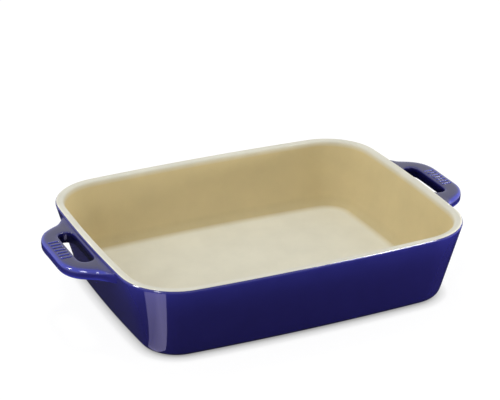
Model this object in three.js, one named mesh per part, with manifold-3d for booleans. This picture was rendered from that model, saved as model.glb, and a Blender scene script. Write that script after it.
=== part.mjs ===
// Rectangular stoneware baking dish with two slotted lug handles and two colours of glaze.
// Millimetres, +Z up, +X along the length through the handles.
// The origin is on the table, under the middle of the dish.

import * as THREE from 'three';
import { mergeVertices } from 'three/addons/utils/BufferGeometryUtils.js';
import Module from 'manifold-3d';

const wasm = await Module();
wasm.setup();

const degrees = THREE.MathUtils.degToRad;

// Basin, measured over the fired glaze
const RIM_LENGTH = 275;
const RIM_WIDTH = 217;
const HEIGHT = 61;
const SHORT_SIDE_BOW = 4.6;
const LONG_SIDE_BOW = 5.3;
const CORNER_RADIUS = 43.5;
const WALL_DRAFT = degrees(15.2);
const RIM_THICKNESS = 6.5;
const OUTER_LIP_RADIUS = 2;
const INNER_LIP_RADIUS = 2.4;
const FLOOR_HEIGHT = 8;
const FLOOR_FILLET = 11;

// Foot: the glaze is wiped off a bare ring round a shallow recess
const FOOT_FILLET = 8;
const WIPE_ANGLE = degrees(70);
const FOOT_STEP = 0.85;
const FOOT_RING_WIDTH = 6.5;
const FOOT_FLANK = 1;
const BASE_RECESS = 1.8;

// Glaze coats, and the seam on the lip where the two colours meet
const GLAZE_THICKNESS = 0.5;
const SEAM_ANGLE = degrees(45);

// Handles: a level plate with a finger slot, flared into the short wall
const HANDLE_DROP = 3.3;
const HANDLE_THICKNESS = 9;
const HANDLE_EDGE_RADIUS = 3.2;
const LEDGE_WIDTH = 1.5;
const SLOT_WIDTH = 12.3;
const SLOT_LENGTH = 53;
const SLOT_CORNER_RADIUS = 5.3;
const BAR_WIDTH = 13.7;
const ARM_WIDTH = 13;
const FLARE = degrees(37.6);
const HANDLE_CORNER_RADIUS = 14;
const ROOT_FILLET = 18;
const ROOT_RUNOUT = degrees(25);
const ROOT_LENGTH = 16;
const ROOT_DEPTH = 14;
const JOINT_GAP = 0.3;

// Facets: each arc of a handle's plan gets twice its number of steps
const SHORT_SIDE_STEPS = 3;
const LONG_SIDE_STEPS = 4;
const CORNER_STEPS = 6;
const HANDLE_ARC_STEPS = 3;
const HANDLE_EDGE_STEPS = 2;

// The rim outline has eight arcs: four bowed sides, and four corners tangent to them
const halfLength = RIM_LENGTH / 2;
const halfWidth = RIM_WIDTH / 2;
const shortRadius = (halfWidth ** 2 + SHORT_SIDE_BOW ** 2) / (2 * SHORT_SIDE_BOW);
const longRadius = (halfLength ** 2 + LONG_SIDE_BOW ** 2) / (2 * LONG_SIDE_BOW);
const shortCentre = new THREE.Vector2(halfLength - shortRadius, 0);
const longCentre = new THREE.Vector2(0, halfWidth - longRadius);

// A corner's centre is where circles about both side centres, smaller by its radius, cross
function cornerCentre() {
  const nearShort = shortRadius - CORNER_RADIUS;
  const nearLong = longRadius - CORNER_RADIUS;
  const line = longCentre.clone().sub(shortCentre);
  const apart = line.length();
  const along = (nearShort ** 2 - nearLong ** 2 + apart ** 2) / (2 * apart);
  const aside = Math.sqrt(nearShort ** 2 - along ** 2);
  const unit = line.divideScalar(apart);
  return new THREE.Vector2(
    shortCentre.x + along * unit.x - aside * unit.y,
    shortCentre.y + along * unit.y + aside * unit.x,
  );
}

const corner = cornerCentre();
const shortEnd = corner.clone().sub(shortCentre).angle();
const longStart = corner.clone().sub(longCentre).angle();

function arcPoints(centre, radius, from, to, steps) {
  return Array.from({ length: steps + 1 }, (_, i) => {
    const angle = THREE.MathUtils.lerp(from, to, i / steps);
    return new THREE.Vector2(Math.cos(angle), Math.sin(angle)).multiplyScalar(radius).add(centre);
  });
}

// The outline moved inwards: every arc keeps its centre, so all outlines are parallel
function outline(inset) {
  const quarter = [
    ...arcPoints(shortCentre, shortRadius - inset, 0, shortEnd, SHORT_SIDE_STEPS),
    ...arcPoints(corner, CORNER_RADIUS - inset, shortEnd, longStart, CORNER_STEPS).slice(1),
    ...arcPoints(longCentre, longRadius - inset, longStart, Math.PI / 2, LONG_SIDE_STEPS).slice(1),
  ];
  const across = quarter.map((p) => new THREE.Vector2(-p.x, p.y)).reverse();
  const half = [...quarter.slice(0, -1), ...across.slice(0, -1)];
  return [...half, ...half.map((p) => p.clone().negate())];
}

// The wall's section is drawn in inset and height. A station holds a point of the fired
// surface and the direction that faces out of the ware there.
const direction = (angle) => new THREE.Vector2(Math.cos(angle), Math.sin(angle));

function sectionArc(centre, radius, from, to, steps) {
  return Array.from({ length: steps + 1 }, (_, i) => {
    const out = direction(THREE.MathUtils.lerp(from, to, i / steps));
    return { point: out.clone().multiplyScalar(radius).add(centre), out };
  });
}

const outerFacing = direction(Math.PI + WALL_DRAFT);
const innerFacing = direction(WALL_DRAFT);
const outerLip = new THREE.Vector2(OUTER_LIP_RADIUS, HEIGHT - OUTER_LIP_RADIUS);
const innerLip = new THREE.Vector2(RIM_THICKNESS - INNER_LIP_RADIUS, HEIGHT - INNER_LIP_RADIUS);
const outerLine = outerLip.dot(outerFacing) + OUTER_LIP_RADIUS;
const innerLine = innerLip.dot(innerFacing) + INNER_LIP_RADIUS;

// Both fillets are tangent to the straight drafted walls
const footHeight = FOOT_FILLET;
const footInset = (outerLine - FOOT_FILLET - footHeight * outerFacing.y) / outerFacing.x;
const foot = new THREE.Vector2(footInset, footHeight);
const hollowHeight = FLOOR_HEIGHT + FLOOR_FILLET;
const hollowInset = (innerLine + FLOOR_FILLET - hollowHeight * innerFacing.y) / innerFacing.x;
const hollow = new THREE.Vector2(hollowInset, hollowHeight);

const outerInset = (z) => (outerLine - z * outerFacing.y) / outerFacing.x;

const seam = Math.PI - SEAM_ANGLE;
const outerStations = [
  ...sectionArc(foot, FOOT_FILLET, Math.PI + WIPE_ANGLE, Math.PI + WALL_DRAFT, 4),
  ...sectionArc(outerLip, OUTER_LIP_RADIUS, Math.PI + WALL_DRAFT, seam, 3),
];
const floorStations = sectionArc(hollow, -FLOOR_FILLET, WALL_DRAFT, Math.PI / 2, 5);
const liningStations = [
  ...sectionArc(outerLip, OUTER_LIP_RADIUS, seam, Math.PI / 2, 2),
  ...sectionArc(innerLip, INNER_LIP_RADIUS, Math.PI / 2, WALL_DRAFT, 3),
  ...floorStations,
];

// The same stations sunk below the fired surface
function below(stations, depth) {
  return stations.map(({ point, out }) => point.clone().addScaledVector(out, -depth));
}

// Rings of the outline, joined in order and closed by flat ends, or round into a hoop
function loft(section, hoop = false) {
  const rings = section.map((p) => outline(p.x).map((q) => [q.x, q.y, p.y]));
  const count = rings[0].length;
  const positions = rings.flat();
  const faces = [];
  const joins = hoop ? rings.length : rings.length - 1;
  for (let r = 0; r < joins; r += 1) {
    const nextRing = (r + 1) % rings.length;
    const from = r * count;
    const to = nextRing * count;
    // The diagonal doesn't depend on the order of the rings, so a coat matches what it covers
    const here = section[r];
    const there = section[nextRing];
    const rising = here.y < there.y || (here.y === there.y && here.x < there.x);
    for (let i = 0; i < count; i += 1) {
      const j = (i + 1) % count;
      if (rising) faces.push(from + i, from + j, to + j, from + i, to + j, to + i);
      else faces.push(from + i, from + j, to + i, from + j, to + j, to + i);
    }
  }
  if (!hoop) {
    const last = (rings.length - 1) * count;
    const start = positions.push([0, 0, section[0].y]) - 1;
    const end = positions.push([0, 0, section.at(-1).y]) - 1;
    for (let i = 0; i < count; i += 1) {
      const next = (i + 1) % count;
      faces.push(start, next, i);
      faces.push(end, last + i, last + next);
    }
  }
  const geometry = new THREE.BufferGeometry();
  geometry.setAttribute('position', new THREE.Float32BufferAttribute(positions.flat(), 3));
  geometry.setIndex(faces);
  return geometry;
}

// Closed geometry to a solid for cutting, and back
function toSolid(geometry) {
  const bare = geometry.clone();
  bare.deleteAttribute('normal');
  bare.deleteAttribute('uv');
  const merged = mergeVertices(bare, 1e-4);
  return new wasm.Manifold(new wasm.Mesh({
    numProp: 3,
    vertProperties: new Float32Array(merged.attributes.position.array),
    triVerts: new Uint32Array(merged.index.array),
  }));
}

function toGeometry(solid) {
  const mesh = solid.getMesh();
  const geometry = new THREE.BufferGeometry();
  geometry.setAttribute('position', new THREE.Float32BufferAttribute(mesh.vertProperties, 3));
  geometry.setIndex(new THREE.Uint32BufferAttribute(mesh.triVerts, 1));
  return geometry;
}

// Straight sides with a rounded corner at each [x, y, radius]
function roundedPath(path, corners) {
  corners.forEach(([x, y, radius], i) => {
    const here = new THREE.Vector2(x, y);
    const [ax, ay] = corners.at(i - 1);
    const [bx, by] = corners[(i + 1) % corners.length];
    const back = new THREE.Vector2(ax, ay).sub(here).normalize();
    const ahead = new THREE.Vector2(bx, by).sub(here).normalize();
    const open = Math.acos(back.dot(ahead));
    const trim = radius / Math.tan(open / 2);
    const first = here.clone().addScaledVector(back, trim);
    if (i === 0) path.moveTo(first.x, first.y);
    else path.lineTo(first.x, first.y);
    if (radius === 0) return;
    const middle = back.clone().add(ahead).normalize();
    const centre = here.clone().addScaledVector(middle, radius / Math.sin(open / 2));
    const last = here.clone().addScaledVector(ahead, trim);
    const from = first.clone().sub(centre).angle();
    const to = last.clone().sub(centre).angle();
    path.absarc(centre.x, centre.y, radius, from, to, back.cross(ahead) > 0);
  });
  path.closePath();
  return path;
}

// Handle plan on the +X side, from the wall outwards: ledge, slot, bar
const handleTop = HEIGHT - HANDLE_DROP;
const seatX = halfLength - outerInset(handleTop);
const slotInnerX = seatX + LEDGE_WIDTH;
const slotOuterX = slotInnerX + SLOT_WIDTH;
const barX = slotOuterX + BAR_WIDTH;
const barHalf = SLOT_LENGTH / 2 + ARM_WIDTH - BAR_WIDTH * Math.tan(FLARE);
const rootY = barHalf + (barX - seatX) * Math.tan(FLARE);
const rootEndX = seatX - ROOT_LENGTH * Math.sin(ROOT_RUNOUT);
const rootEndY = rootY + ROOT_LENGTH * Math.cos(ROOT_RUNOUT);
const innerX = seatX - ROOT_DEPTH;

function handlePlan() {
  const half = [
    [barX, barHalf, HANDLE_CORNER_RADIUS],
    [seatX, rootY, ROOT_FILLET],
    [rootEndX, rootEndY, 0],
    [innerX, rootEndY, 0],
  ];
  const mirrored = half.map(([x, y, radius]) => [x, -y, radius]).reverse();
  const plan = roundedPath(new THREE.Shape(), [...half, ...mirrored]);
  const slotHalf = SLOT_LENGTH / 2;
  plan.holes.push(roundedPath(new THREE.Path(), [
    [slotOuterX, slotHalf, SLOT_CORNER_RADIUS],
    [slotInnerX, slotHalf, SLOT_CORNER_RADIUS],
    [slotInnerX, -slotHalf, SLOT_CORNER_RADIUS],
    [slotOuterX, -slotHalf, SLOT_CORNER_RADIUS],
  ]));
  return plan;
}

// The whole plate with rounded edges, sunk by depth below its fired surface all round
function handlePlate(depth) {
  const edge = HANDLE_EDGE_RADIUS - depth;
  const plate = new THREE.ExtrudeGeometry(handlePlan(), {
    depth: HANDLE_THICKNESS - 2 * HANDLE_EDGE_RADIUS,
    bevelSize: edge,
    bevelThickness: edge,
    bevelOffset: -HANDLE_EDGE_RADIUS,
    bevelSegments: HANDLE_EDGE_STEPS,
    curveSegments: HANDLE_ARC_STEPS,
  });
  return plate.translate(0, 0, handleTop - HANDLE_THICKNESS + HANDLE_EDGE_RADIUS);
}

const halfTurn = (geometry) => geometry.clone().rotateZ(Math.PI);

// Stoneware basin: recess, bare foot ring, wall, rim, floor
const clayOuter = below(outerStations, GLAZE_THICKNESS);
const clayLining = below(liningStations, GLAZE_THICKNESS);
const footOuter = new THREE.Vector2(clayOuter[0].x + FOOT_STEP, 0);
const footInner = new THREE.Vector2(footOuter.x + FOOT_RING_WIDTH, 0);
const recessEdge = new THREE.Vector2(footInner.x + FOOT_FLANK, BASE_RECESS);
const bodyGeometry = loft([recessEdge, footInner, footOuter, ...clayOuter, ...clayLining.slice(1)]);

// Handles stop a joint's gap short of the clay wall
const wallCutter = toSolid(loft(below(outerStations, GLAZE_THICKNESS - JOINT_GAP)));
const clayPlate = toSolid(handlePlate(GLAZE_THICKNESS));
const glazedPlate = toSolid(handlePlate(0));
const handleGeometry = toGeometry(clayPlate.subtract(wallCutter));
const handleGlazeGeometry = toGeometry(glazedPlate.subtract(clayPlate).subtract(wallCutter));

// Cream glaze lines the inside and turns over the rim to the seam
const firedLining = below(liningStations, 0);
const liningGeometry = loft([...clayLining.toReversed(), ...firedLining]);

// Blue glaze coats the outside wall, open where the handles grow out of the clay
const firedOuter = below(outerStations, 0);
const wallCoat = toSolid(loft([...firedOuter, ...clayOuter.toReversed()], true));
const handleOpening = handlePlate(-JOINT_GAP);
const wallGlazeGeometry = toGeometry(
  wallCoat.subtract(toSolid(handleOpening)).subtract(toSolid(halfTurn(handleOpening))),
);

// Blue glaze in the recess under the dish
const baseEdge = new THREE.Vector2(recessEdge.x + GLAZE_THICKNESS, BASE_RECESS - GLAZE_THICKNESS);
const baseGlazeGeometry = loft([baseEdge, recessEdge]);

const stoneware = new THREE.MeshStandardMaterial({ color: 0xd8c8a6, roughness: 0.85, metalness: 0 });
const creamGlaze = new THREE.MeshStandardMaterial({ color: 0xe6dcc0, roughness: 0.25, metalness: 0 });
const blueGlaze = new THREE.MeshStandardMaterial({ color: 0x1d1a66, roughness: 0.1, metalness: 0 });

const dish = new THREE.Group();

function addPiece(name, geometry, material, turn = 0) {
  const mesh = new THREE.Mesh(geometry, material);
  mesh.name = name;
  mesh.rotation.z = turn;
  dish.add(mesh);
}

addPiece('stoneware_body', bodyGeometry, stoneware);
addPiece('cream_lining', liningGeometry, creamGlaze);
addPiece('blue_wall_glaze', wallGlazeGeometry, blueGlaze);
addPiece('blue_base_glaze', baseGlazeGeometry, blueGlaze);
addPiece('right_handle', handleGeometry, stoneware);
addPiece('right_handle_glaze', handleGlazeGeometry, blueGlaze);
addPiece('left_handle', handleGeometry, stoneware, Math.PI);
addPiece('left_handle_glaze', handleGlazeGeometry, blueGlaze, Math.PI);

export default dish;
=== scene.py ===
import math

import bmesh
import bpy
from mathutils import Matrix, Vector


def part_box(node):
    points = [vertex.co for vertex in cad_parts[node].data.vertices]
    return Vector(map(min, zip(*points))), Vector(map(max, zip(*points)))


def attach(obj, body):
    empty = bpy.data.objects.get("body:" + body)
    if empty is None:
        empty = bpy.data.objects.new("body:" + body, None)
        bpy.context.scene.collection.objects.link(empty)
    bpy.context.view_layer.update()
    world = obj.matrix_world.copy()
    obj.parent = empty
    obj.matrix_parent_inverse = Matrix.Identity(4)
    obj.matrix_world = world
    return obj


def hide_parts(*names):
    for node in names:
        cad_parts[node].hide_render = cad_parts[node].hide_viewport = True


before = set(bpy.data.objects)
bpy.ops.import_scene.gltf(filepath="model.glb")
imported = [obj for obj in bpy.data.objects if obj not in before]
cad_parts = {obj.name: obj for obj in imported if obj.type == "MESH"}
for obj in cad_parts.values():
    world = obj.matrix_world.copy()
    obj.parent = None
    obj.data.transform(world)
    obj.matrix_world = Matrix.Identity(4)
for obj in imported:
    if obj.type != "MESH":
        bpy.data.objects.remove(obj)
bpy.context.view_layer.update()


# The basin
# Pressed stoneware with walls that lean out, sides that swell a little and round corners.
# It is modelled as one closed skin, a flat outline sunk through the wall's section both ways.
MM = 0.001
half_length, half_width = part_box("blue_wall_glaze")[1].xy
rim_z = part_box("cream_lining")[1].z
handle_low, handle_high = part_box("right_handle_glaze")
short_side_bow = 4.6 * MM
long_side_bow = 5.3 * MM
corner_radius = 43.5 * MM
wall_draft = math.radians(15.2)
wall_heights = (handle_high.z, handle_low.z, 45 * MM, 30 * MM, 14 * MM)
rim_thickness = 6.5 * MM
outer_lip_radius = 2 * MM
inner_lip_radius = 2.4 * MM
lip_low = rim_z - 2.3 * MM
lip_high = rim_z - 1.6 * MM
lining_heights = (54 * MM, 40 * MM, 24 * MM)
floor_z = 8 * MM
floor_fillet = 11 * MM
floor_margin = 5 * MM
foot_fillet = 8 * MM
foot_step = 1.1 * MM
ring_width = 6.2 * MM
ring_round = 0.7 * MM
ring_ease = 0.12 * MM
recess = 1.3 * MM
recess_ease = 0.2 * MM
recess_margin = 4 * MM
# The columns of the mesh on a short side, from its middle, where a handle's bar, slot and arms lie
bar_column = 11 * MM
slot_straight = 22.3 * MM
arm_side = 37 * MM
root_end = 54 * MM
side_columns = (0, bar_column, slot_straight, arm_side, root_end)
# Angles round the foot, where the glaze is wiped off, and round the lip, where the blue meets the cream
wipe = math.radians(70)
seam = math.radians(135)
lip_start = math.radians(150)
up = math.radians(90)
# A face is flat when its normal is this near to straight up, down or sideways
flat = 0.9
coats = ("cobalt_gloss", "cream_satin", "bare_clay", "recess_gloss")
BLUE, CREAM, BARE, BASE = range(len(coats))


def arc(centre, radius, start, stop, steps):
    """Points round part of a circle, both ends included."""
    points = []
    for i in range(steps + 1):
        angle = start + (stop - start) * i / steps
        points.append(Vector((centre.x + radius * math.cos(angle), centre.y + radius * math.sin(angle))))
    return points


# The rim's outline is eight arcs: four bowed sides, and four corners tangent to them
short_radius = (half_width**2 + short_side_bow**2) / (2 * short_side_bow)
long_radius = (half_length**2 + long_side_bow**2) / (2 * long_side_bow)
short_centre = Vector((half_length - short_radius, 0))
long_centre = Vector((0, half_width - long_radius))
between = long_centre - short_centre
near_short = short_radius - corner_radius
near_long = long_radius - corner_radius
along = (near_short**2 - near_long**2 + between.length_squared) / (2 * between.length)
aside = math.sqrt(near_short**2 - along**2)
unit = between.normalized()
corner = short_centre + along * unit + aside * Vector((-unit.y, unit.x))
short_end = math.atan2(corner.y - short_centre.y, corner.x - short_centre.x)
long_start = math.atan2(corner.y - long_centre.y, corner.x - long_centre.x)


def short_side(y):
    """The point of a short side's arc at a distance from its middle."""
    return Vector((short_centre.x + math.sqrt(short_radius**2 - y**2), y))


quarter = [short_side(y) for y in side_columns]
quarter += arc(corner, corner_radius, short_end, long_start, steps=12)
quarter += arc(long_centre, long_radius, long_start, math.pi / 2, steps=3)[1:]
mirrored = [Vector((-p.x, p.y)) for p in reversed(quarter)]
half = quarter[:-1] + mirrored[:-1]
outline = half + [-p for p in half]

# The wall's section, in inset from the outline and height
outer_lip = Vector((outer_lip_radius, rim_z - outer_lip_radius))
inner_lip = Vector((rim_thickness - inner_lip_radius, rim_z - inner_lip_radius))
facing_out = Vector((-math.cos(wall_draft), -math.sin(wall_draft)))
facing_in = -facing_out
outer_line = outer_lip.dot(facing_out) + outer_lip_radius
inner_line = inner_lip.dot(facing_in) + inner_lip_radius


def outer_inset(z):
    """How far inside the outline the outer wall is at a height."""
    return (outer_line - z * facing_out.y) / facing_out.x


def inner_inset(z):
    """The same for the inner wall."""
    return (inner_line - z * facing_in.y) / facing_in.x


foot = Vector((outer_inset(foot_fillet) + foot_fillet / math.cos(wall_draft), foot_fillet))
hollow_z = floor_z + floor_fillet
hollow = Vector((inner_inset(hollow_z) + floor_fillet / math.cos(wall_draft), hollow_z))
wall_section = [Vector((0, lip_low))] + [Vector((outer_inset(z), z)) for z in wall_heights]
wall_section += arc(foot, foot_fillet, math.pi + wall_draft, math.pi + wipe, steps=3)
ring_outer = wall_section[-1].x + foot_step
ring_inner = ring_outer + ring_width
foot_section = [
    wall_section[-1],
    Vector((ring_outer - ring_round, ring_ease)),
    Vector((ring_outer, 0)),
    Vector((ring_inner - ring_round, 0)),
    Vector((ring_inner, recess_ease)),
    Vector((ring_inner + ring_round, recess - recess_ease)),
    Vector((ring_inner + 2 * ring_round, recess)),
]
base_section = [foot_section[-1], foot_section[-1] + Vector((recess_margin, 0))]
lip_section = [Vector((0, lip_high))] + arc(outer_lip, outer_lip_radius, lip_start, seam, steps=1)
lining_section = arc(outer_lip, outer_lip_radius, seam, up, steps=2)
lining_section += arc(inner_lip, inner_lip_radius, up, wall_draft, steps=3)
lining_section += [Vector((inner_inset(z), z)) for z in lining_heights]
lining_section += [2 * hollow - p for p in arc(hollow, floor_fillet, wall_draft, up, steps=4)]
lining_section += [lining_section[-1] + Vector((floor_margin, 0))]

bpy.ops.object.select_all(action="DESELECT")
bpy.ops.mesh.primitive_circle_add(vertices=len(outline), radius=half_length, fill_type="NGON")
form = bpy.context.object
form.name = "dish_form"
for vertex, point in zip(form.data.vertices, outline):
    vertex.co = (point.x, point.y, lip_low)
for coat in coats:
    form.data.materials.append(bpy.data.materials.new(coat))


def select(kind, test):
    """In edit mode, selects only the faces, edges or vertices of the active mesh that pass a test."""
    bpy.ops.mesh.select_mode(type=kind)
    bpy.ops.mesh.select_all(action="DESELECT")
    mesh = bmesh.from_edit_mesh(bpy.context.object.data)
    mesh.normal_update()
    for item in {"FACE": mesh.faces, "EDGE": mesh.edges, "VERT": mesh.verts}[kind]:
        if test(item):
            item.select_set(True)
    mesh.select_flush_mode()
    bmesh.update_edit_mesh(bpy.context.object.data)


def sink(section, coat, facing):
    """Insets the selected flat face through the points of a section. What it leaves takes a coat."""
    form.active_material_index = coat
    bpy.ops.object.material_slot_assign()
    for here, there in zip(section, section[1:]):
        step = there - here
        bpy.ops.mesh.inset(thickness=step.x, depth=facing * step.y)


bpy.ops.object.mode_set(mode="EDIT")
bpy.ops.mesh.select_all(action="SELECT")
bpy.ops.mesh.extrude_region_move(TRANSFORM_OT_translate={"value": (0, 0, lip_high - lip_low)})
bpy.ops.mesh.select_all(action="SELECT")
bpy.ops.mesh.normals_make_consistent(inside=False)
select("FACE", lambda face: face.normal.z < -flat)
sink(wall_section, BLUE, -1)
sink(foot_section, BARE, -1)
sink(base_section, BASE, -1)
select("FACE", lambda face: face.normal.z > flat and face.calc_center_median().z > lip_low)
sink(lip_section, BLUE, 1)
sink(lining_section, CREAM, 1)


# The handles
# Each short wall carries a level lug with a finger slot, flared into the wall at both ends.
# Two arms are pulled out of the wall, turned round the slot and bridged into one bar.
bar_x = handle_high.x
bar_width = 13.7 * MM
slot_width = 12.3 * MM
slot_half = 26.8 * MM
slot_corner = 1.9 * MM
slot_outer = bar_x - bar_width
slot_inner = slot_outer - slot_width
slot_middle = slot_inner + slot_width / 2
slot_round = 1.2 * MM
edge_percent = 22
root_lift = 0.15 * MM
root_x = 130 * MM
touch = 0.1 * MM
arm_start = Vector((slot_inner, arm_side))
# Across each arm, a point of the slot's edge and one of the outer edge, from the wall to the bar
arm_sections = (
    (Vector((slot_inner, slot_straight)), Vector((slot_inner + 3.9 * MM, 44.6 * MM))),
    (Vector((slot_inner + slot_corner, 25.4 * MM)), Vector((slot_inner + 7.9 * MM, 42.4 * MM))),
    (Vector((slot_middle, slot_half)), Vector((slot_middle + 7.6 * MM, 38.7 * MM))),
    (Vector((slot_outer - slot_corner, 25.4 * MM)), Vector((slot_outer + 8.5 * MM, 33.4 * MM))),
    (Vector((slot_outer, slot_straight)), Vector((bar_x + 0.2 * MM, 22.2 * MM))),
    (Vector((slot_outer, 10.5 * MM)), Vector((bar_x, 10.5 * MM))),
)
# How far the faces that meet in a lug's edge, and those of its root, point up or out
level_least = 0.8
upright_most = 0.6
outward_least = 0.4


def keep(test):
    """In edit mode, drops the selected vertices that fail a test."""
    bpy.ops.mesh.select_mode(type="VERT")
    mesh = bmesh.from_edit_mesh(bpy.context.object.data)
    for vertex in mesh.verts:
        if vertex.select and not test(vertex):
            vertex.select_set(False)
    mesh.select_flush_mode()
    bmesh.update_edit_mesh(bpy.context.object.data)


def on_root(face, side, reach):
    """Whether a face stands upright on the band of a short wall where a lug grows."""
    middle = face.calc_center_median()
    if face.normal.x * side < outward_least or middle.x * side < 0:
        return False
    return abs(middle.y) < reach and handle_low.z < middle.z < handle_high.z


def at_arm_start(vertex, side, end):
    """Whether a vertex is in the column of the root where the outer edge of an arm starts."""
    return (Vector((vertex.co.x * side, vertex.co.y * end)) - arm_start).length < touch


def on_arm_start(face, side, end):
    """Whether a face of the root is one that an arm grows from."""
    return on_root(face, side, arm_side) and face.calc_center_median().y * end > slot_straight


def grow_arm(side, end):
    """Extrudes the selected end of an arm through its sections."""
    for (inner, outer), (next_inner, next_outer) in zip(arm_sections, arm_sections[1:]):
        across = outer - inner
        next_across = next_outer - next_inner
        move = next_inner - inner
        pivot = (side * next_inner.x, end * next_inner.y, 0)
        bpy.ops.mesh.extrude_region_move(TRANSFORM_OT_translate={"value": (side * move.x, end * move.y, 0)})
        turn = side * end * next_across.angle_signed(across)
        bpy.ops.transform.rotate(value=-turn, orient_axis="Z", center_override=pivot)
        scale = next_across.length / across.length
        bpy.ops.transform.resize(value=(scale, scale, 1), center_override=pivot)


def on_arm_end(face, side):
    """Whether a face closes an arm in the middle of the bar."""
    middle = face.calc_center_median()
    return middle.x * side > slot_outer and abs(middle.y) < bar_column and abs(face.normal.y) > flat


def on_plate_edge(edge, side):
    """Whether an edge runs between a level face of a lug and one of its upright sides."""
    if not edge.is_convex or min(v.co.x * side for v in edge.verts) < root_x:
        return False
    if not all(handle_low.z - touch < v.co.z < handle_high.z + touch for v in edge.verts):
        return False
    level, upright = sorted((abs(face.normal.z) for face in edge.link_faces), reverse=True)
    return level > level_least and upright < upright_most


def round_slot(edge):
    """Whether an edge goes round a slot."""
    return all(abs(v.co.x) < slot_outer + touch and abs(v.co.y) < slot_half + touch for v in edge.verts)


for side in (1, -1):
    select("FACE", lambda face: on_root(face, side, root_end))
    bpy.ops.mesh.extrude_region_move(TRANSFORM_OT_translate={"value": (side * root_lift, 0, 0)})
    keep(lambda vertex: abs(vertex.co.y) < arm_side + MM)
    bpy.ops.transform.resize(value=(0, 1, 1), center_override=(side * slot_inner, 0, 0))
    for end in (1, -1):
        select("VERT", lambda vertex: at_arm_start(vertex, side, end))
        move = arm_sections[0][1] - arm_start
        bpy.ops.transform.translate(value=(side * move.x, end * move.y, 0))
        select("FACE", lambda face: on_arm_start(face, side, end))
        grow_arm(side, end)
    select("FACE", lambda face: on_arm_end(face, side))
    bpy.ops.mesh.bridge_edge_loops(number_cuts=1)
    select("EDGE", lambda edge: on_plate_edge(edge, side) and not round_slot(edge))
    bpy.ops.mesh.bevel(
        offset_type="PERCENT", offset_pct=edge_percent, segments=2, profile=0.5, affect="EDGES")
    select("EDGE", lambda edge: on_plate_edge(edge, side) and round_slot(edge))
    bpy.ops.mesh.bevel(offset=slot_round, segments=2, profile=0.5, affect="EDGES")

bpy.ops.mesh.select_all(action="SELECT")
bpy.ops.mesh.normals_make_consistent(inside=False)
bpy.ops.object.mode_set(mode="OBJECT")
bpy.ops.object.shade_smooth()


def add_modifier(piece, kind, **settings):
    """Adds a modifier with these settings to a piece and applies it."""
    bpy.context.view_layer.objects.active = piece
    bpy.ops.object.modifier_add(type=kind)
    modifier = piece.modifiers[-1]
    for name, value in settings.items():
        setattr(modifier, name, value)
    bpy.ops.object.modifier_apply(modifier=modifier.name)


add_modifier(form, "SUBSURF", levels=2, render_levels=2)


# The stoneware
# The bare clay under the coats, seen only on the foot ring where the glaze is wiped off.
# It is the whole form, drawn in to make room for the glaze everywhere but on that ring.
glaze_thickness = 0.5 * MM
room_for_glaze = 1.1 * glaze_thickness
clay_stops = ((0.3, (0.52, 0.43, 0.3)), (0.7, (0.72, 0.63, 0.47)))


def pick(piece):
    """Selects one object alone and makes it the active one."""
    bpy.ops.object.select_all(action="DESELECT")
    piece.select_set(True)
    bpy.context.view_layer.objects.active = piece


pick(form)
bpy.ops.object.duplicate()
stoneware = bpy.context.object
stoneware.name = "stoneware_ware"
bpy.ops.object.mode_set(mode="EDIT")
select("FACE", lambda face: face.material_index != BARE)
bpy.ops.transform.shrink_fatten(value=-room_for_glaze)
bpy.ops.object.mode_set(mode="OBJECT")


def principled(material):
    """Gives a material a node tree and returns its nodes, its links and its shader."""
    material.use_nodes = True
    nodes = material.node_tree.nodes
    return nodes, material.node_tree.links, nodes["Principled BSDF"]


def add_noise(nodes, links, detail):
    """A noise texture on Object coordinates."""
    place = nodes.new("ShaderNodeTexCoord")
    noise = nodes.new("ShaderNodeTexNoise")
    noise.inputs["Detail"].default_value = detail
    links.new(place.outputs["Object"], noise.inputs["Vector"])
    return noise


def add_ramp(nodes, links, value, stops):
    """A colour ramp on a value, with a colour at each stop."""
    ramp = nodes.new("ShaderNodeValToRGB")
    elements = ramp.color_ramp.elements
    while len(elements) < len(stops):
        elements.new(0.5)
    for element, (position, colour) in zip(elements, stops):
        element.position = position
        element.color = (*colour, 1)
    links.new(value, ramp.inputs["Fac"])
    return ramp.outputs["Color"]


def add_bump(nodes, links, shader, height, strength, distance):
    """Roughens a shader's surface by a height that varies over it."""
    bump = nodes.new("ShaderNodeBump")
    bump.inputs["Strength"].default_value = strength
    bump.inputs["Distance"].default_value = distance
    links.new(height, bump.inputs["Height"])
    links.new(bump.outputs["Normal"], shader.inputs["Normal"])


bare_clay = bpy.data.materials["bare_clay"]
nodes, links, shader = principled(bare_clay)
shader.inputs["Roughness"].default_value = 0.9
grain = add_noise(nodes, links, detail=6)
grain.inputs["Scale"].default_value = 900
links.new(add_ramp(nodes, links, grain.outputs["Fac"], clay_stops), shader.inputs["Base Color"])
add_bump(nodes, links, shader, grain.outputs["Fac"], strength=0.4, distance=0.1 * MM)
stoneware.data.materials.clear()
stoneware.data.materials.append(bare_clay)
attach(stoneware, "root")
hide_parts("stoneware_body", "left_handle", "right_handle")


# The blue glaze
# Glossy cobalt glaze over the outer wall and both lugs, fused to the clay in one coat.
# It is the form's own skin there, given the thickness of the glaze inwards.
# Between these heights the blue grows brighter upwards, on edges and, as painted light, on the wall
brighten_from = 20 * MM
brighten_until = 58 * MM
thin_edge_radius = 3 * MM
lug_start = 3 * MM
slot_margin = 2 * MM
# Depths below a lug's top over which a slot is darkened, as painted shade
slot_shade_from = 1 * MM
slot_shade_below = 4 * MM
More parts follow.
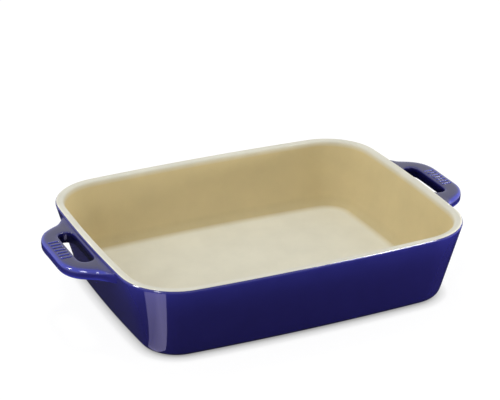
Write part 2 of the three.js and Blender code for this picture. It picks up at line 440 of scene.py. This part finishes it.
# How pale the blue is on the low wall, how much the high wall adds to that as painted light, and how much
# each kind of edge adds, where the glaze breaks paler
usual = 0.15
painted_light_share = 0.25
lip_share = 0.15
slot_share = 0.25
lug_share = 0.72
cobalt_stops = (
    (0, (0.005, 0.0045, 0.03)),
    (0.15, (0.0128, 0.011, 0.084)),
    (0.49, (0.025, 0.025, 0.2)),
    (1, (0.045, 0.06, 0.5)),
)
mottle_stops = ((0.3, (0.93, 0.93, 0.93)), (0.7, (1, 1, 1)))
# A Mix node's sockets for colours
MIX_A, MIX_B, MIX_RESULT = 6, 7, 2

pick(form)
bpy.ops.object.mode_set(mode="EDIT")
bpy.ops.mesh.select_all(action="SELECT")
bpy.ops.mesh.separate(type="MATERIAL")
bpy.ops.object.mode_set(mode="OBJECT")
parts = {piece.data.materials[0].name: piece for piece in bpy.context.selected_objects}
bpy.data.objects.remove(parts["bare_clay"])
blue_coat = parts["cobalt_gloss"]
blue_coat.name = "blue_coat"


def part_way(value, low, high):
    """How far a value is from a low to a high one, from nought to one."""
    return min(max((value - low) / (high - low), 0), 1)


def mark_glaze_tone_and_light(piece):
    """Stores the blue's tone at each vertex, painted light and shade included. The glaze breaks paler on
    edges, more so high on the ware; the high wall is lightened as painted light, and the slots are darkened
    as painted shade."""
    tone_and_light = piece.data.attributes.new("glaze_tone_and_painted_light", "FLOAT", "POINT")
    mesh = bmesh.new()
    mesh.from_mesh(piece.data)
    mesh.normal_update()
    for vertex in mesh.verts:
        bend = 0
        for edge in vertex.link_edges:
            other = edge.other_vert(vertex)
            span = vertex.co - other.co
            bend = max(bend, (vertex.normal - other.normal).dot(span) / span.length_squared)
        x, y, z = abs(vertex.co.x), abs(vertex.co.y), vertex.co.z
        height = part_way(z, brighten_from, brighten_until)
        lug = part_way(x, half_length, half_length + lug_start)
        by_slot = x < slot_outer + slot_margin and y < slot_half + slot_margin
        in_slot = by_slot and z > handle_low.z - MM
        # Deep in a slot the blue is darkened, as painted shade
        depth = part_way(handle_high.z - z, slot_shade_from, slot_shade_below) if in_slot else 0
        share = lip_share + lug * ((slot_share if by_slot else lug_share) - lip_share)
        drawn = height * share * part_way(bend * thin_edge_radius, 0, 1)
        # The high wall is lightened, as painted light
        drawn += (1 - lug) * height**3 * painted_light_share
        tone_and_light.data[vertex.index].value = (1 - depth) * (usual + (1 - usual) * drawn)
    mesh.free()


mark_glaze_tone_and_light(blue_coat)
add_modifier(blue_coat, "SOLIDIFY", thickness=glaze_thickness, offset=-1)


def glaze_skin():
    """A node group for fired glaze: a slow mottle of its tone, and a faint ripple of the surface."""
    group = bpy.data.node_groups.new("glaze_skin", "ShaderNodeTree")
    details = {"Mottle": 4, "Ripple": 2}
    for name in details:
        group.interface.new_socket(name + " Scale", in_out="INPUT", socket_type="NodeSocketFloat")
        group.interface.new_socket(name, in_out="OUTPUT", socket_type="NodeSocketFloat")
    given = group.nodes.new("NodeGroupInput")
    result = group.nodes.new("NodeGroupOutput")
    for name, detail in details.items():
        noise = add_noise(group.nodes, group.links, detail)
        group.links.new(given.outputs[name + " Scale"], noise.inputs["Scale"])
        group.links.new(noise.outputs["Fac"], result.inputs[name])
    return group


skin_group = glaze_skin()


def fire_glaze(nodes, links, shader, mottle, ripple, ripple_height):
    """Gives a shader the mottle and the ripple of the skin group, at scales in waves a metre.
    Returns the socket that takes the glaze's own colour."""
    skin = nodes.new("ShaderNodeGroup")
    skin.node_tree = skin_group
    skin.inputs["Mottle Scale"].default_value = mottle
    skin.inputs["Ripple Scale"].default_value = ripple
    tinted = nodes.new("ShaderNodeMix")
    tinted.data_type = "RGBA"
    tinted.blend_type = "MULTIPLY"
    tinted.inputs["Factor"].default_value = 1
    links.new(add_ramp(nodes, links, skin.outputs["Mottle"], mottle_stops), tinted.inputs[MIX_B])
    links.new(tinted.outputs[MIX_RESULT], shader.inputs["Base Color"])
    add_bump(nodes, links, shader, skin.outputs["Ripple"], strength=0.3, distance=ripple_height)
    return tinted.inputs[MIX_A]


cobalt = bpy.data.materials["cobalt_gloss"]
nodes, links, shader = principled(cobalt)
shader.inputs["Roughness"].default_value = 0.07
# The stored tone, with its painted light and shade, picks the blue
glaze_and_light_tone = nodes.new("ShaderNodeAttribute")
glaze_and_light_tone.attribute_name = "glaze_tone_and_painted_light"
tint = fire_glaze(nodes, links, shader, mottle=60, ripple=120, ripple_height=0.1 * MM)
links.new(add_ramp(nodes, links, glaze_and_light_tone.outputs["Fac"], cobalt_stops), tint)
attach(blue_coat, "root")
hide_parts("blue_wall_glaze", "left_handle_glaze", "right_handle_glaze")


# The grip ribs
# Low plain ribs across the top of each bar, pressed with the lug and under the same glaze.
# One is a block with rounded ends and a softened top, and the others are copies of it.
rib_length = 8.4 * MM
rib_width = 2 * MM
rib_height = 0.5 * MM
rib_depth = 0.5 * MM
rib_end_round = 0.45 * rib_width
rib_top_round = 0.8 * rib_height
rib_spacing = 4.6 * MM
rib_count = 7
rib_x = slot_outer + 6.2 * MM
bpy.ops.object.select_all(action="DESELECT")
bpy.ops.mesh.primitive_cube_add(size=1, location=(0, 0, 0))
rib = bpy.context.object
bpy.ops.object.mode_set(mode="EDIT")
bpy.ops.transform.resize(value=(rib_length, rib_width, rib_height + rib_depth))
bpy.ops.transform.translate(value=(0, 0, handle_high.z + (rib_height - rib_depth) / 2))
select("EDGE", lambda edge: abs(edge.verts[0].co.z - edge.verts[1].co.z) > rib_height)
bpy.ops.mesh.bevel(offset=rib_end_round, segments=3, profile=0.5, affect="EDGES")
select("EDGE", lambda edge: all(v.co.z > handle_high.z for v in edge.verts))
bpy.ops.mesh.bevel(offset=rib_top_round, segments=2, profile=0.5, affect="EDGES")
bpy.ops.object.mode_set(mode="OBJECT")
bpy.ops.object.shade_smooth()
add_modifier(rib, "SUBSURF", levels=1, render_levels=1)
ribs = []
for side in (1, -1):
    for i in range(rib_count):
        pick(rib)
        bpy.ops.object.duplicate()
        ribs.append(bpy.context.object)
        bpy.ops.object.mode_set(mode="EDIT")
        bpy.ops.mesh.select_all(action="SELECT")
        bpy.ops.transform.translate(value=(side * rib_x, (i - (rib_count - 1) / 2) * rib_spacing, 0))
        bpy.ops.object.mode_set(mode="OBJECT")
bpy.data.objects.remove(rib)
pick(ribs[0])
for copied in ribs:
    copied.select_set(True)
bpy.ops.object.join()
grip_ribs = bpy.context.object
grip_ribs.name = "grip_ribs"
mark_glaze_tone_and_light(grip_ribs)
grip_ribs.data.materials.append(cobalt)
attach(grip_ribs, "root")


# The base glaze
# The same blue glaze in the shallow recess inside the foot ring, under the dish.
# It is the flat bottom of the form, and lies thick there.
base_coat = parts["recess_gloss"]
base_coat.name = "base_coat"
add_modifier(base_coat, "SOLIDIFY", thickness=glaze_thickness, offset=-1)
nodes, links, shader = principled(bpy.data.materials["recess_gloss"])
shader.inputs["Roughness"].default_value = 0.12
tint = fire_glaze(nodes, links, shader, mottle=60, ripple=120, ripple_height=0.1 * MM)
tint.default_value = (0.013, 0.011, 0.08, 1)
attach(base_coat, "root")
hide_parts("blue_base_glaze")


# The cream lining
# Satin cream glaze over the floor and inner walls, turned over the rim to meet the blue.
# Its walls are painted darker and warmer than its floor, as painted shade and light bounced off the floor.
cream_coat = parts["cream_satin"]
cream_coat.name = "cream_coat"
add_modifier(cream_coat, "SOLIDIFY", thickness=glaze_thickness, offset=-1)
# The colour at heights given as a share of the rim's: the floor, a painted highlight line at its edge,
# painted shade over the fillet and the wall, and the rim
cream_and_shade_stops = (
    (0.131, (0.735, 0.71, 0.58)),
    (0.135, (0.76, 0.735, 0.61)),
    (0.172, (0.58, 0.485, 0.27)),
    (0.3, (0.675, 0.562, 0.318)),
    (0.92, (0.665, 0.547, 0.295)),
    (0.985, (0.725, 0.705, 0.605)),
)
nodes, links, shader = principled(bpy.data.materials["cream_satin"])
shader.inputs["Roughness"].default_value = 0.58
shader.inputs["Specular IOR Level"].default_value = 0.18
place = nodes.new("ShaderNodeTexCoord")
axes = nodes.new("ShaderNodeSeparateXYZ")
links.new(place.outputs["Object"], axes.inputs["Vector"])
rise = nodes.new("ShaderNodeMath")
rise.operation = "DIVIDE"
rise.inputs[1].default_value = rim_z
links.new(axes.outputs["Z"], rise.inputs[0])
tint = fire_glaze(nodes, links, shader, mottle=40, ripple=150, ripple_height=0.05 * MM)
links.new(add_ramp(nodes, links, rise.outputs["Value"], cream_and_shade_stops), tint)
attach(cream_coat, "root")
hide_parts("cream_lining")


# The studio
# A plain white floor and background, a painted shadow at the dish's foot, soft lamps round it, and the
# camera.
# The glaze mirrors a dark sheet and glowing cards that are no lamps and show only there, as painted
# reflections.
floor_size = 6
floor_tone = 0.9
floor_tone_seen = 0.13
shadow_reach = 10 * MM
shadow_tones = ((0.1, 0.31), (0.5, 0.68), (0.9, 0.92))
sky_light = 0.55
white = (1, 1, 1)
bpy.ops.object.select_all(action="DESELECT")
bpy.ops.mesh.primitive_plane_add(size=floor_size, location=(0, 0, 0))
ground = bpy.context.object
ground.name = "studio_floor"
ground_paint = bpy.data.materials.new("studio_white")
ground.data.materials.append(ground_paint)
nodes, links, shader = principled(ground_paint)
shader.inputs["Roughness"].default_value = 0.9
shader.inputs["Specular IOR Level"].default_value = 0


def seen_directly(nodes, links):
    """One for rays from the camera, a mirror image or glass, and nought for light."""
    path = nodes.new("ShaderNodeLightPath")
    total = path.outputs["Is Camera Ray"]
    for name in ("Is Glossy Ray", "Is Transmission Ray"):
        either = nodes.new("ShaderNodeMath")
        either.operation = "MAXIMUM"
        links.new(total, either.inputs[0])
        links.new(path.outputs[name], either.inputs[1])
        total = either.outputs["Value"]
    return total


# What is seen of the floor is mostly its own white, with a painted shadow close round the foot of the dish,
# glowing less where the dish hems it in
seen = seen_directly(nodes, links)
paint = nodes.new("ShaderNodeMix")
paint.data_type = "RGBA"
paint.inputs[MIX_A].default_value = (floor_tone, floor_tone, floor_tone, 1)
paint.inputs[MIX_B].default_value = (floor_tone_seen, floor_tone_seen, floor_tone_seen, 1)
links.new(seen, paint.inputs["Factor"])
links.new(paint.outputs[MIX_RESULT], shader.inputs["Base Color"])
painted_shadow_ao = nodes.new("ShaderNodeAmbientOcclusion")
painted_shadow_ao.samples = 32
painted_shadow_ao.inputs["Distance"].default_value = shadow_reach
shadow_stops = [(position, (tone, tone, tone)) for position, tone in shadow_tones]
links.new(add_ramp(nodes, links, painted_shadow_ao.outputs["AO"], shadow_stops), shader.inputs["Emission Color"])
links.new(seen, shader.inputs["Emission Strength"])

world = bpy.data.worlds.new("studio")
bpy.context.scene.world = world
world.use_nodes = True
nodes = world.node_tree.nodes
links = world.node_tree.links
sky = nodes["Background"]
sky.inputs["Color"].default_value = (*white, 1)
level = nodes.new("ShaderNodeMapRange")
level.inputs["To Min"].default_value = sky_light
level.inputs["To Max"].default_value = 1
links.new(seen_directly(nodes, links), level.inputs["Value"])
links.new(level.outputs["Result"], sky.inputs["Strength"])


def add_lamp(name, place, size, watts):
    """A square soft lamp at a place, aimed at the dish."""
    data = bpy.data.lights.new(name, "AREA")
    data.shape = "SQUARE"
    data.size = size
    data.energy = watts
    lamp = bpy.data.objects.new(name, data)
    bpy.context.scene.collection.objects.link(lamp)
    lamp.location = place
    lamp.rotation_euler = (-Vector(place)).to_track_quat("-Z", "Y").to_euler()
    lamp.visible_glossy = False


add_lamp("top_lamp", (0.1, 0.5, 1.5), size=0.4, watts=8)
add_lamp("left_lamp", (-1.1, -0.15, 0.75), size=0.5, watts=2.8)
add_lamp("right_lamp", (0.5, -0.28, 0.06), size=0.1, watts=2.2)
add_lamp("low_lamp", (-0.65, -0.16, 0.05), size=0.1, watts=1.2)


def add_sheet(name, corners, strengths, colour):
    """A flat sheet that shows only in mirror images, with a brightness at each corner: a painted reflection,
    no lamp.
    """
    data = bpy.data.meshes.new(name)
    data.from_pydata(corners, [], [range(len(corners))])
    sheet = bpy.data.objects.new(name, data)
    bpy.context.scene.collection.objects.link(sheet)
    for ray in ("camera", "diffuse", "transmission", "volume_scatter", "shadow"):
        setattr(sheet, "visible_" + ray, False)
    data.attributes.new("brightness", "FLOAT", "POINT").data.foreach_set("value", strengths)
    paper = bpy.data.materials.new(name)
    # Mirrored rays find the sheet, so it isn't sampled as a lamp
    paper.cycles.emission_sampling = "NONE"
    data.materials.append(paper)
    nodes, links, shader = principled(paper)
    shader.inputs["Base Color"].default_value = (0, 0, 0, 1)
    shader.inputs["Specular IOR Level"].default_value = 0
    shader.inputs["Emission Color"].default_value = (*colour, 1)
    brightness = nodes.new("ShaderNodeAttribute")
    brightness.attribute_name = "brightness"
    links.new(brightness.outputs["Fac"], shader.inputs["Emission Strength"])


def add_strip(name, heading, distance, width, low, high, strength):
    """An upright strip facing the dish, at a heading in degrees from the front to the right: a painted
    highlight.
    """
    turn = math.radians(heading)
    out = Vector((math.sin(turn), -math.cos(turn), 0))
    across = Vector((out.y, -out.x, 0)) * width / 2
    bottom = out * distance + Vector((0, 0, low))
    top = out * distance + Vector((0, 0, high))
    corners = (bottom - across, bottom + across, top + across, top - across)
    add_sheet(name, corners, [strength] * len(corners), white)


# The dark sheet and a highlight card lie on the floor, seen only as painted reflection and painted
# highlight; their corners have a place and a brightness
dark_reach = 0.3
dark_z = 0.1 * MM
dark_glow = 0.045
dark_plan = (
    (-dark_reach, -dark_reach, dark_glow),
    (dark_reach, -dark_reach, 0),
    (dark_reach, dark_reach, 0),
    (-dark_reach, dark_reach, dark_glow),
)
card_z = 0.2 * MM
card_colour = (1, 0.92, 1.45)
card_plan = (
    (-0.177, -0.079, 1.35),
    (-0.181, -0.119, 2),
    (-0.161, -0.1455, 2),
    (-0.1145, -0.0865, 1.9),
    (-0.1148, -0.0765, 0.8),
    (-0.122, -0.0688, 0.7),
)
add_sheet("dark_sheet", [(x, y, dark_z) for x, y, _ in dark_plan], [s for _, _, s in dark_plan], white)
add_sheet("highlight_card", [(x, y, card_z) for x, y, _ in card_plan], [s for _, _, s in card_plan], card_colour)
# Three strips paint highlights on the lip and the lugs, seen only in mirror images
add_strip("right_strip", heading=37.5, distance=1.4, width=0.3, low=0.65, high=1.5, strength=50)
add_strip("left_strip", heading=-56, distance=1.2, width=0.22, low=0.1, high=0.7, strength=18)
add_strip("corner_strip", heading=-98, distance=1.2, width=0.18, low=0.3, high=0.85, strength=55)

image_width = 500
focal_pixels = 1864.6
view_turn = math.radians(-24.93)
view_rise = math.radians(24.18)
view_distance = 1.4958
aim = Vector((0.0304, 0.0775, 0.03))
camera_data = bpy.data.cameras.new("camera")
camera = bpy.data.objects.new("camera", camera_data)
bpy.context.scene.collection.objects.link(camera)
camera_data.lens = camera_data.sensor_width * focal_pixels / image_width
level_away = Vector((math.sin(view_turn), -math.cos(view_turn), 0))
away = level_away * math.cos(view_rise) + Vector((0, 0, math.sin(view_rise)))
camera.location = aim + view_distance * away
camera.rotation_euler = (-away).to_track_quat("-Z", "Y").to_euler()
bpy.context.scene.camera = camera
bpy.context.scene.view_settings.view_transform = "Standard"
